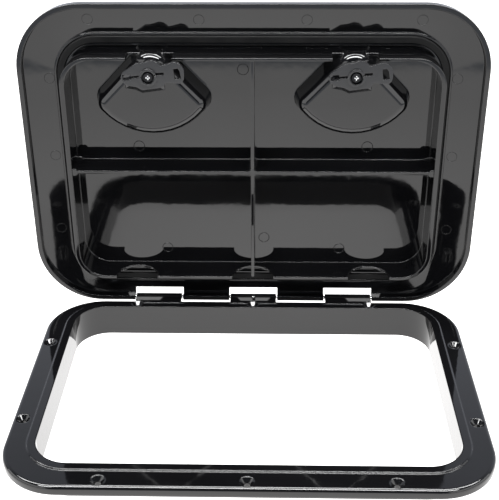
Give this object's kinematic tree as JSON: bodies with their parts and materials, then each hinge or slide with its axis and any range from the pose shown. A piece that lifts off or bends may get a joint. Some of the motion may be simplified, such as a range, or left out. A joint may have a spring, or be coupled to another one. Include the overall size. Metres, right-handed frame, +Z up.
{
  "type": "deck hatch",
  "caption": "Rectangular boat deck hatch: flanged frame with a hinged moulded lid, rubber seal and quarter-turn latches, standing open.",
  "frame": {"origin": "centre of the whole object's box, at the foot of the frame's neck, with the lid standing open at 90 degrees", "axes": "+X to the right along the hinge, +Y from the frame's front edge to the hinge, +Z up out of the deck"},
  "size_m": [0.38, 0.2644, 0.292],
  "materials": {
    "housing": "high-gloss black moulded ABS",
    "latch": "satin-gloss black glass-filled nylon",
    "seal": "matte black EPDM",
    "nylon": "natural nylon",
    "stainless": "bright stainless steel",
    "brass": "turned brass",
    "blackened": "black-coated stainless steel"
  },
  "bodies": {
    "frame": {"deck_frame": "housing", "left_hinge_pin": "stainless", "right_hinge_pin": "stainless"},
    "lid": {"lid_shell": "housing", "lid_seal": "seal"},
    "left_latch": {"left_latch_handle": "latch", "left_latch_o_ring": "seal", "left_latch_thread_insert": "brass", "left_latch_friction_washer": "nylon", "left_latch_cam": "latch", "left_latch_flat_washer": "blackened", "left_latch_lock_washer": "blackened", "left_latch_screw": "blackened"},
    "right_latch": {"right_latch_handle": "latch", "right_latch_o_ring": "seal", "right_latch_thread_insert": "brass", "right_latch_friction_washer": "nylon", "right_latch_cam": "latch", "right_latch_flat_washer": "blackened", "right_latch_lock_washer": "blackened", "right_latch_screw": "blackened"}
  },
  "joints": [
    {"name": "lid_hinge", "type": "hinge", "parent": "frame", "child": "lid", "pos_m": [0, 0.12295, 0.0251], "axis": [1, 0, 0], "range_deg": [-12, 90]},
    {"name": "left_latch_turn", "type": "hinge", "parent": "lid", "child": "left_latch", "pos_m": [-0.081, 0.10775, 0.2414], "axis": [0, -1, 0], "range_deg": [0, 85]},
    {"name": "right_latch_turn", "type": "hinge", "parent": "lid", "child": "right_latch", "pos_m": [0.081, 0.10775, 0.2414], "axis": [0, -1, 0], "range_deg": [0, 85]}
  ]
}
